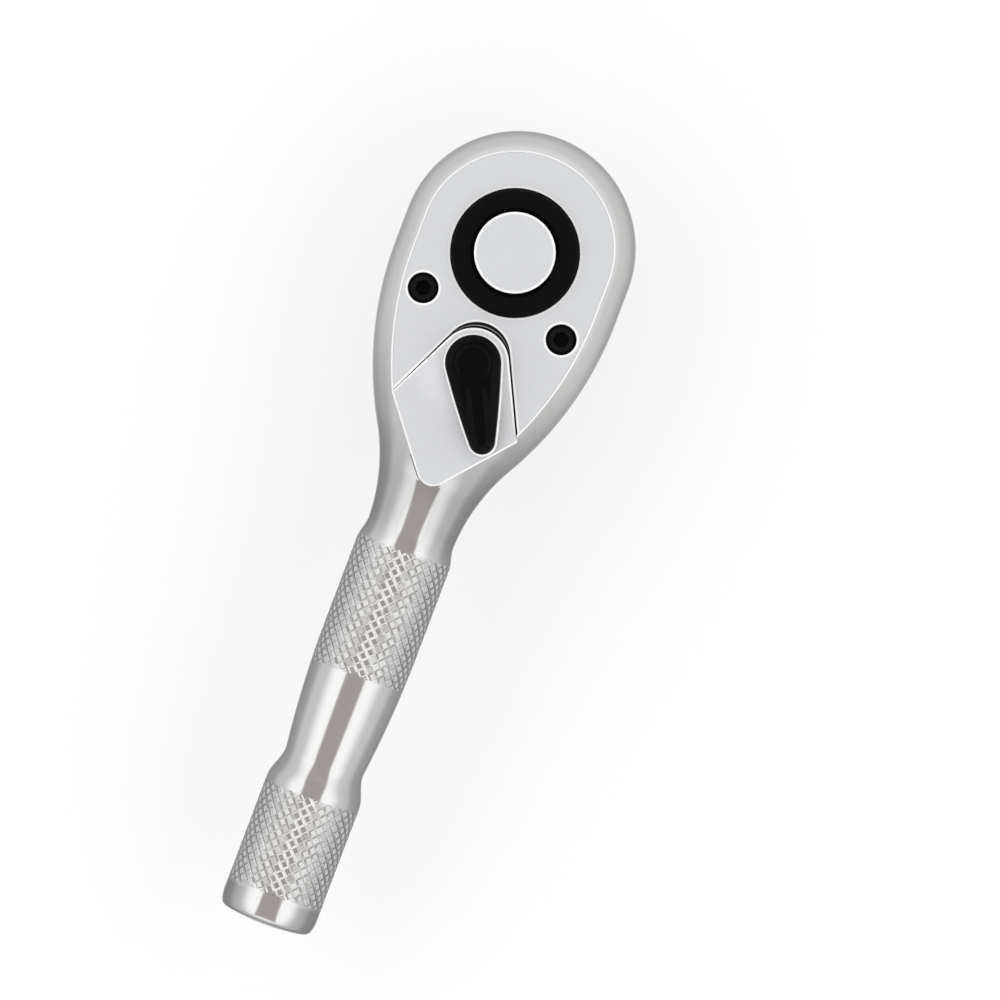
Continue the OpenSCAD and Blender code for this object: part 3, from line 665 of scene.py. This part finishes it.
def pawl_room(gear):
    """Outline of the hollow under the web, tight round the gear's pocket, the pawl and the shaft's clip."""
    points = gear + [p for c, r in PAWL_ROOM for p in circle(c, r, steps=72)]
    points.sort(key=lambda p: (p.x, p.y))

    def half(run):
        """Points of a run that lie on one half of the outline."""
        out = []
        for p in run:
            while len(out) > 1 and (out[-1] - out[-2]).cross(p - out[-1]) <= 0:
                out.pop()
            out.append(p)
        return out[:-1]
    return half(points) + half(points[::-1])


def half_head(bm, side, reach):
    """Vertices of the sections of the head and the neck on one side."""
    stations = head_stations() + neck_stations()
    straighten(stations[CORNER:], reach)
    for station in stations[CORNER + 1:]:
        last, before = station["rows"][-1], station["rows"][-2]
        station["rows"][-2] = last + (before - last).normalized() * FOOT_W
    made = []
    for s in stations:
        points = {k: s[k] if k == "rows" else [s[k]] for k in s}
        made.append({k: ring(bm, [Vector((side * p.x, p.y, p.z)) for p in points[k]]) for k in s})
    return made


def flat_edge(sections, key="top"):
    """Vertices along the upper or the lower flat edge of some sections."""
    return [s[key][0] for s in sections]


def add_rim(bm):
    """The rim of the head and the neck, with its bevels. Gives the right and the left side's sections."""
    right, left = half_head(bm, 1, CORNER_REACH), half_head(bm, -1, 0)
    left[0] = right[0]
    for key in ("top", "low"):
        left[-1][key] = right[-1][key]
    left[-1]["rows"][0], left[-1]["rows"][-1] = right[-1]["rows"][0], right[-1]["rows"][-1]
    for side in (right, left):
        for a, b in zip(side, side[1:]):
            foot = side is left and a["rows"][-1].co.y < -FOOT_S * MM
            band(bm, a["rows"], b["rows"], lambda i: FOOT if foot and i == ROWS - 1 else CHROME, closed=False)
            for key, row in (("top", -1), ("low", 0)):
                corners = list(dict.fromkeys((a["rows"][row], b["rows"][row], b[key][0], a[key][0])))
                bm.faces.new(corners).material_index = BEVEL if key == "top" else CHROME
    return right, left


def add_island(bm, right, left):
    """The island round the lever, with a bevel along its sides and nose. Gives the nose's lower edge and the
    upper edge of the shaft's hole."""
    nose_low = ring(bm, nose(0, 0), TOP - EDGE_DROP)
    nose_top = ring(bm, nose(-EDGE_IN, -EDGE_IN), TOP)
    path_low = [right[CORNER]["top"][0]] + nose_low + [left[CORNER]["top"][0]]
    path_top = [right[CORNER + 1]["top"][0]] + nose_top + [left[CORNER + 1]["top"][0]]
    band(bm, path_low, path_top, BEVEL, closed=False)
    face_edge = flat_edge(right[CORNER + 1:]) + flat_edge(reversed(left[CORNER + 1:-1]))
    shaft_top = ring(bm, circle((0, -LEVER_S), SHAFT_R), TOP)
    fill(bm, nose_top + face_edge[::-1], shaft_top, mat=LEVER_LIT)
    return nose_low, shaft_top


def add_hollows(bm, right, left, nose_low, shaft_top):
    """The plate's seat, the gear's pocket, the pawl's room under the web, the bore and the underside."""
    rim = flat_edge(reversed(left[1:CORNER + 1])) + flat_edge(right[:CORNER + 1]) + nose_low
    seat = [bm.verts.new((v.co.x, v.co.y, SEAT * MM)) for v in rim]
    # The seat's wall round the plate, the gear's pocket and the hollows take the near-black recess finish: painted
    # shade
    band(bm, rim, seat, HOLLOW)
    gear = circle((0, 0), GEAR_POCKET_R)
    gear_top, gear_low = ring(bm, gear, SEAT), ring(bm, gear, WEB)
    fill(bm, seat, gear_top, mat=HOLLOW)
    band(bm, gear_top, gear_low, HOLLOW)

    # On the nose's side the room shares the pocket's vertices. On the handle's side the web lies between them
    room = pawl_room(gear)
    shared = {tuple(p): i for i, p in enumerate(gear)}
    places = [shared.get(tuple(p)) for p in room]
    room_top = [ring(bm, [p], WEB)[0] if i is None else gear_low[i] for p, i in zip(room, places)]
    room_low = ring(bm, room, FLOOR)
    shaft_low = ring(bm, circle((0, -LEVER_S), SHAFT_R), WEB)
    band(bm, shaft_top, shaft_low, HOLLOW)
    own = [k for k, i in enumerate(places) if i is None]
    pocket_side = gear_low[places[own[0] - 1]:places[own[-1] + 1] + 1]
    fill(bm, [room_top[k] for k in own] + pocket_side[::-1], shaft_low, mat=HOLLOW)
    band(bm, room_top, room_low, HOLLOW)

    bore_top, bore_low = (ring(bm, circle((0, 0), BORE_R), z) for z in (FLOOR, BOTTOM))
    fill(bm, room_low, bore_top, mat=HOLLOW)
    band(bm, bore_top, bore_low, HOLLOW)
    under = flat_edge(reversed(left[1:]), "low") + flat_edge(right[:-1], "low")
    fill(bm, under, bore_low)


def add_handle(bm, last):
    """The handle with its two knurled stretches, from the last ring of the neck to the handle's end."""
    neck_step = 0.3
    neck = spread(neck_step - last[0].co.y / MM, SHOULDER_S, 32)
    neck += spread(SHOULDER_S, KNURLS[0][0] - KNURL_STEP, 16)[1:]
    first, end = handle_part(bm, [handle_station(s) for s in neck])
    band(bm, last, first)
    waist = spread(KNURLS[0][1] + KNURL_STEP, WAIST_S, 30)
    waist += spread(WAIST_S, KNURLS[1][0] - KNURL_STEP, 24)[1:]
    tail = [handle_station(KNURLS[1][1] + KNURL_STEP)] + [handle_station(s, r) for s, r in end_profile()]
    after = [[handle_station(s) for s in waist], tail]
    for stretch, plain in zip(KNURLS, after):
        upper, lower = add_copy(bm, knurl(*stretch))
        zip_loops(bm, end, upper)
        first, end = handle_part(bm, plain)
        zip_loops(bm, lower, first)
    fill(bm, end)


def make_body():
    bm = bmesh.new()
    right, left = add_rim(bm)
    nose_low, shaft_top = add_island(bm, right, left)
    add_hollows(bm, right, left, nose_low, shaft_top)
    add_handle(bm, right[-1]["rows"] + left[-1]["rows"][-2:0:-1])
    finished("wrench_body", bm, BODY_FINISHES, "housing", "chrome_body", "body")


make_body()


# Cover plate

def make_plate():
    SATIN, HIGHLIGHT, RECESS = range(3)
    bm = bmesh.new()
    rim_fit, ring_fit, screw_fit = 0.01, 0.05, 0.02

    # The gap beside the island narrows towards the rim on the left
    flank_r = FLANK_R - FACE_IN - rim_fit
    right, left = (arc((-FLANK_X, -FLANK_S), flank_r, a, 0, steps=24) for a in (PLATE_CORNER, LEFT_CORNER))
    head = []
    for a in spread(0, math.pi, 96):
        r = HEAD_R - FACE_IN - rim_fit - nose_in(a)
        head.append(Vector((0, HEAD_SHIFT)) + Vector((math.cos(a), math.sin(a))) * r)
    rim = right + head + mirrored(left)

    def at_notch(there, elsewhere):
        return lambda i: there if i >= len(rim) - 1 else elsewhere

    # A narrow ledge stands out under the notch, close to the island
    gaps = (NOTCH_GAP, NOSE_GAP), (0.13, 0.33), (0.09, 0.24)
    upper, ledge, lower = (rim + nose(*pair)[::-1] for pair in gaps)
    wall_z, ledge_z, foot_z = TOP - 0.4, TOP - 0.42, TOP - 0.45
    rim_band = 0.02
    # Painted shade on the walls at the notch, and a band of painted highlight along the notch and round each
    # opening
    shaded = at_notch(RECESS, SATIN)
    stacks = [[(inset(upper, at_notch(HAIR + HIGHLIGHT_BAND, HAIR + rim_band)), TOP, None),
               (inset(upper, at_notch(HAIR, RIM_HAIR)), TOP, at_notch(HIGHLIGHT, SATIN)),
               (upper, TOP - HAIR, SATIN), (upper, wall_z, shaded), (ledge, ledge_z, shaded),
               (lower, foot_z, SATIN), (lower, SEAT, shaded)]]
    holes = [circle((0, 0), RING_R + ring_fit)]
    holes += [circle(c, SCREW_R + screw_fit, steps=48) for c in SCREW_PLACES]
    for hole in holes:
        stacks.append([(inset(hole, -HAIR - HIGHLIGHT_BAND), TOP, None), (inset(hole, -HAIR), TOP, HIGHLIGHT),
                       (hole, TOP - HAIR, SATIN), (hole, SEAT, SATIN)])
    tops, lows = [], []
    for stack in stacks:
        rings = [ring(bm, points, z) for points, z, _ in stack]
        for a, b, (_, _, mat) in zip(rings, rings[1:], stack[1:]):
            band(bm, a, b, mat)
        tops.append(rings[0])
        lows.append(rings[-1])
    fill(bm, *tops)
    fill(bm, *lows)
    finished("plate_over_head", bm, [satin, edge_highlight, recess], "housing", "satin_plate", "cover_plate")


make_plate()


# Cover screws

def make_screws():
    """Two countersunk socket screws, a little below the plate's face."""
    BLACK, SHADE = range(2)
    low, high = (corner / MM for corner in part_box("cover_screws"))
    bm = bmesh.new()
    top, land, socket_z = high.z - 0.03, high.z - 0.3, high.z - 0.9
    flat, chamfer, chamfer_h, face_r, shank_r, steps = 0.65, 0.06, 0.08, 1.2, 1.0, 48

    # Radii and depths down the head's rounded edge
    head_edge = [(1.27, 0.03), (1.3, 0.1), (1.36, 0.25)]

    def hexagon(grow):
        return lambda a: (flat + grow) / math.cos((a + math.pi / 6) % (math.pi / 3) - math.pi / 6)
    profile = [(hexagon(0), socket_z, None), (hexagon(0), top - chamfer_h, SHADE),
               (hexagon(chamfer), top, SHADE), (face_r, top, BLACK)]
    profile += [(r, top - depth, SHADE) for r, depth in head_edge]
    profile += [(SCREW_R, land, SHADE), (shank_r, land - SCREW_R + shank_r, SHADE), (shank_r, low.z, SHADE)]
    turns = [2 * math.pi * i / steps for i in range(steps)]
    for x, y in SCREW_PLACES:
        rings = []
        for r, z, _ in profile:
            reach = [(a, r(a) if callable(r) else r) for a in turns]
            rings.append(ring(bm, [(x + d * math.cos(a), y + d * math.sin(a)) for a, d in reach], z))
        for a, b, (_, _, mat) in zip(rings, rings[1:], profile[1:]):
            band(bm, a, b, mat)
        fill(bm, rings[0], mat=SHADE)
        fill(bm, rings[-1], mat=SHADE)
    finishes = [black_oxide, black_coat]
    finished("plate_screws", bm, finishes, "housing", "black_steel", "cover_screws", sharp=25)


make_screws()


# Reversing lever

def make_lever():
    """A teardrop with a dished hub and a rib down its stem. Its foot carries a painted highlight."""
    BLACK, HIGHLIGHT = range(2)
    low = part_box("reversing_lever")[0] / MM
    bm = bmesh.new()
    hub_r, tip_r, length, belly = 2.82, 1.33, 7.9, 0.08
    # The skirt is a thin flange round the lever's foot that carries a painted highlight
    skirt, skirt_h, skirt_top = 0.2, 0.02, 0.2
    hub_h, tip_h, crown, edge_r = 2.45, 1.9, 0.27, 0.45
    dish, dish_edge = 0.2, (1.5, 1.95)
    rib_h, rib_side, rib_start, rib_end = 0.32, (0.5, 1.1), (hub_r - 0.9, hub_r + 0.3), (0.2, 0.9)
    rib_share = 0.6
    rest = math.radians(27)

    # The outline as centres, radii and angles: round the hub, down one flank, round the tip and back
    lean = math.asin((hub_r - tip_r) / length)
    left, right = math.pi + lean, 2 * math.pi - lean
    shares = [i / 12 for i in range(1, 12)]
    spine = [((0.0, 0.0), hub_r, a) for a in spread(-lean, left, 48)]
    spine += [((0.0, -length * t), hub_r + (tip_r - hub_r) * t + belly * 4 * t * (1 - t), left)
              for t in shares]
    spine += [((0.0, -length), tip_r, a) for a in spread(left, right, 24)]
    spine += [((0.0, -length * (1 - t)), tip_r + (hub_r - tip_r) * t + belly * 4 * t * (1 - t), right)
              for t in shares]

    def place(c, r, a):
        return Vector((c[0] + r * math.cos(a), c[1] + r * math.sin(a)))

    def height(p, depth):
        """Height of the upper side at a point, and at a depth in from the outline."""
        along = min(1, max(0, -p.y / length))
        h = hub_h + (tip_h - hub_h) * along
        h -= edge_r * (1 - math.sqrt(max(0, 1 - max(0, 1 - depth / edge_r) ** 2)))
        h -= crown * max(0, 1 - depth)
        h -= dish * (1 - smooth(p.length, *dish_edge))
        rise = (rib_share + (1 - rib_share) * along) * rib_h
        rise *= smooth(-p.y, *rib_start) * (1 - smooth(abs(p.x), *rib_side))
        return h + rise * smooth(length + tip_r + p.y, *rib_end)

    rings = [ring(bm, [place(c, r + grow, a) for c, r, a in spine], z)
             for grow, z in ((skirt, 0.0), (skirt, skirt_h), (0.0, skirt_top))]
    depths, inner = [0, 0.02, 0.07, 0.15, 0.27, edge_r], 17
    for k in range(len(depths) - 1 + inner):
        points = []
        for c, r, a in spine:
            depth = depths[k] if k < len(depths) else edge_r + (r - edge_r) * (k - len(depths) + 1) / inner
            p = place(c, r - depth, a)
            points.append((p.x, p.y, height(p, depth)))
        rings.append(ring(bm, points))
    rings.append(ring(bm, [(c[0], c[1], height(Vector(c), r)) for c, r, _ in spine]))
    for i, (a, b) in enumerate(zip(rings, rings[1:])):
        band(bm, a, b, HIGHLIGHT if i < 2 else BLACK)
    fill(bm, rings[0])
    turned = Matrix.Translation(Vector((0, -LEVER_S, low.z)) * MM) @ Matrix.Rotation(rest, 4, "Z")
    bmesh.ops.transform(bm, verts=bm.verts[:], matrix=turned)
    finished("thumb_lever", bm, [black_coat, edge_highlight], "selector", "black_lever", "reversing_lever", sharp=30)


make_lever()


# Release button

def make_button():
    SATIN, HIGHLIGHT, RECESS = range(3)
    low, high = (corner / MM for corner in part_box("release_button"))
    bm = bmesh.new()
    button_r, flange_h, spigot_r, spigot_len = 4.08, 1.2, 0.82, 1.22
    # A band of painted highlight round the button's top edge, and painted shade under its flange
    profile = [(button_r - HAIR - HIGHLIGHT_BAND, high.z, None), (button_r - HAIR, high.z, HIGHLIGHT),
               (button_r, high.z - HAIR, HIGHLIGHT), (button_r, low.z + flange_h, SATIN),
               (high.x, low.z + flange_h, RECESS), (high.x, low.z, RECESS), (spigot_r, low.z, RECESS),
               (spigot_r, low.z + spigot_len, RECESS)]
    rings = [ring(bm, circle((0, 0), r), z) for r, z, _ in profile]
    for a, b, (_, _, mat) in zip(rings, rings[1:], profile[1:]):
        band(bm, a, b, mat)
    fill(bm, rings[0])
    fill(bm, rings[-1])
    finished("push_button", bm, [satin, edge_highlight, recess], "button", "satin_plate", "release_button")


make_button()


# Button's spring

def make_spring():
    """A coil under the button, from the seat of the button's press up to the button, on a mesh of its own."""
    wire, turns, sides, steps, fit = 0.45, 5, 12, 24, 0.02
    press = next(j for j in frame["joints"] if j["name"] == "button_press")
    seat = press["deforming_nodes"][0]["fixed_end_z_m"] / MM
    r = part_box("button_spring")[1].x / MM - wire / 2
    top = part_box("release_button")[0].z / MM - fit
    rise = top - seat - fit - wire
    lean = math.atan2(rise / turns, 2 * math.pi * r)
    bm = bmesh.new()
    rings = []
    for i in range(turns * steps + 1):
        a = 2 * math.pi * i / steps
        z = seat + fit + wire / 2 + rise * i / (turns * steps)
        centre = Vector((r * math.cos(a), r * math.sin(a), z))
        out = Vector((math.cos(a), math.sin(a), 0)) * wire / 2
        up = Vector((math.sin(lean) * math.sin(a), -math.sin(lean) * math.cos(a), math.cos(lean))) * wire / 2
        rings.append(ring(bm, [centre + out * math.cos(b) + up * math.sin(b)
                               for b in spread(0, 2 * math.pi, sides)[:-1]]))
    for a, b in zip(rings, rings[1:]):
        band(bm, a, b)
    fill(bm, rings[0])
    fill(bm, rings[-1])
    coil = finished("button_coil", bm, [steel], "drive", "bright_steel", "button_spring", sharp=40)
    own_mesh(coil)


make_spring()


# Floor, light and camera

def make_floor():
    half, gap, white_share = 3.0, 0.05 * MM, 0.65
    mesh = bpy.data.meshes.new("floor")
    z = cad_box[0].z - gap
    corners = [(-half, -half, z), (half, -half, z), (half, half, z), (-half, half, z)]
    mesh.from_pydata(corners, [], [(0, 1, 2, 3)])
    floor = bpy.data.objects.new("floor", mesh)
    bpy.context.scene.collection.objects.link(floor)
    m = bpy.data.materials.new("pale_floor")
    m.use_nodes = True
    tree = m.node_tree
    shader = tree.nodes["Principled BSDF"]
    shader.inputs["Base Color"].default_value = (0.955, 0.955, 0.955, 1)
    shader.inputs["Roughness"].default_value = 1.0
    shader.inputs["Specular IOR Level"].default_value = 0.0

    # Mostly plain white where it is seen, directly or in a reflection, so the shadow on it stays light
    rays = tree.nodes.new("ShaderNodeLightPath").outputs
    seen = math_node(tree, "MAXIMUM", rays["Is Camera Ray"], rays["Is Glossy Ray"])
    seen = math_node(tree, "MAXIMUM", seen, rays["Is Transmission Ray"])
    white = tree.nodes.new("ShaderNodeEmission")
    mix = tree.nodes.new("ShaderNodeMixShader")
    tree.links.new(ramp(tree, seen, 0, 1, 0, white_share), mix.inputs["Fac"])
    tree.links.new(shader.outputs["BSDF"], mix.inputs[1])
    tree.links.new(white.outputs["Emission"], mix.inputs[2])
    tree.links.new(mix.outputs["Shader"], tree.nodes["Material Output"].inputs["Surface"])
    mesh.materials.append(m)


def make_world():
    """A soft white dome, dimmer towards the horizon, with a dim panel overhead along the handle."""
    horizon, overhead, panel_level, panel_color = 0.93, 1.6, 0.56, (1.04, 0.97, 0.92, 1)

    # Parts of a unit direction over which the dome brightens, and the panel ends to the sides and the ends
    # and at the horizon
    dome_z, panel_x, panel_y, panel_z = (0.25, 0.72), (0.39, 0.42), (0.62, 0.72), (0.0, 0.05)
    world = bpy.data.worlds.new("studio")
    bpy.context.scene.world = world
    world.use_nodes = True
    tree = world.node_tree
    background = tree.nodes["Background"]
    way = parts_of(tree, tree.nodes.new("ShaderNodeTexCoord").outputs["Generated"])
    dome = ramp(tree, way["Z"], *dome_z, horizon, overhead)
    across = ramp(tree, math_node(tree, "ABSOLUTE", way["X"]), *panel_x, 1, 0)
    along = ramp(tree, math_node(tree, "ABSOLUTE", way["Y"]), *panel_y, 1, 0)
    panel = math_node(tree, "MULTIPLY", across, along)
    panel = math_node(tree, "MULTIPLY", panel, ramp(tree, way["Z"], *panel_z, 0, 1))
    level = tree.nodes.new("ShaderNodeMix")
    tree.links.new(panel, level.inputs["Factor"])
    tree.links.new(dome, level.inputs["A"])
    level.inputs["B"].default_value = panel_level
    tree.links.new(level.outputs["Result"], background.inputs["Strength"])
    warmth = tree.nodes.new("ShaderNodeMix")
    warmth.data_type = "RGBA"
    tree.links.new(panel, warmth.inputs["Factor"])
    warmth.inputs[6].default_value = (1, 1, 1, 1)
    warmth.inputs[7].default_value = panel_color
    tree.links.new(warmth.outputs[2], background.inputs["Color"])


def make_camera():
    """Above the head and turned towards the middle of the picture, with the handle rolled to the left."""
    frame_width = 101.25
    roll = math.radians(20.7)
    target = Vector((7.27, -23.77, MID))
    place = Vector((15.0, -16.0, MID + 600.0))
    data = bpy.data.cameras.new("camera")
    camera = bpy.data.objects.new("camera", data)
    bpy.context.scene.collection.objects.link(camera)
    forward = (target - place).normalized()
    right = Vector((math.cos(roll), math.sin(roll), 0))
    right = (right - forward * right.dot(forward)).normalized()
    up = right.cross(forward)
    turn = Matrix((right, up, -forward)).transposed().to_4x4()
    camera.matrix_world = Matrix.Translation(place * MM) @ turn
    data.sensor_width = 36.0
    data.lens = data.sensor_width * (target - place).length / frame_width
    data.clip_start, data.clip_end = 0.01, 10.0
    bpy.context.scene.camera = camera


make_floor()
make_world()
make_camera()
bpy.context.scene.view_settings.view_transform = "Standard"
